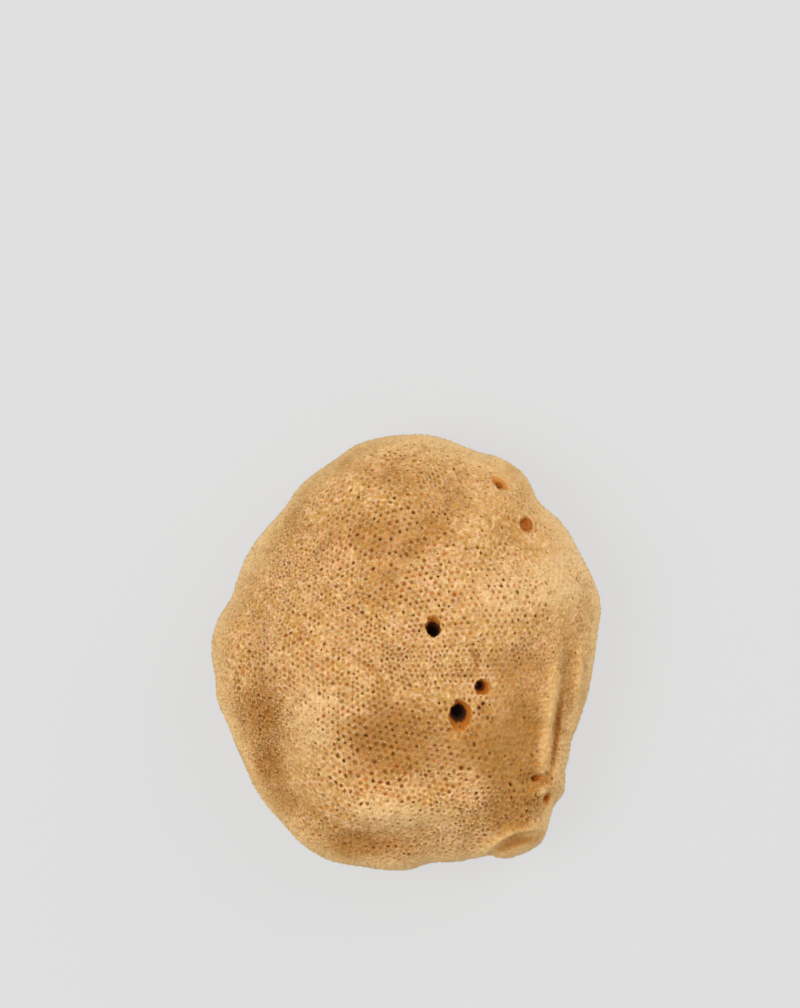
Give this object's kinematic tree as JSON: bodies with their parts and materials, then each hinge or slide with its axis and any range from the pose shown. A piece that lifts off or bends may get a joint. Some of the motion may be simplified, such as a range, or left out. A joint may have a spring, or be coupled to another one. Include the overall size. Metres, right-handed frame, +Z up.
{
  "type": "sea sponge",
  "caption": "Natural bath sponge: a pitted dome with a rolled rim, wide outlet holes, folds down one side and a flat cut underside.",
  "frame": {"origin": "middle of the object's box on the flat cut that the sponge rests on", "axes": "+Z up through the dome, +Y along its length, +X towards the side with the folds"},
  "size_m": [0.0992, 0.1112, 0.0493],
  "materials": {
    "spongin": "dry, matt, honey-tan horny fibre with a fine pitted nap, browner inside the holes"
  },
  "bodies": {
    "root": {"sponge": "spongin"}
  },
  "joints": []
}
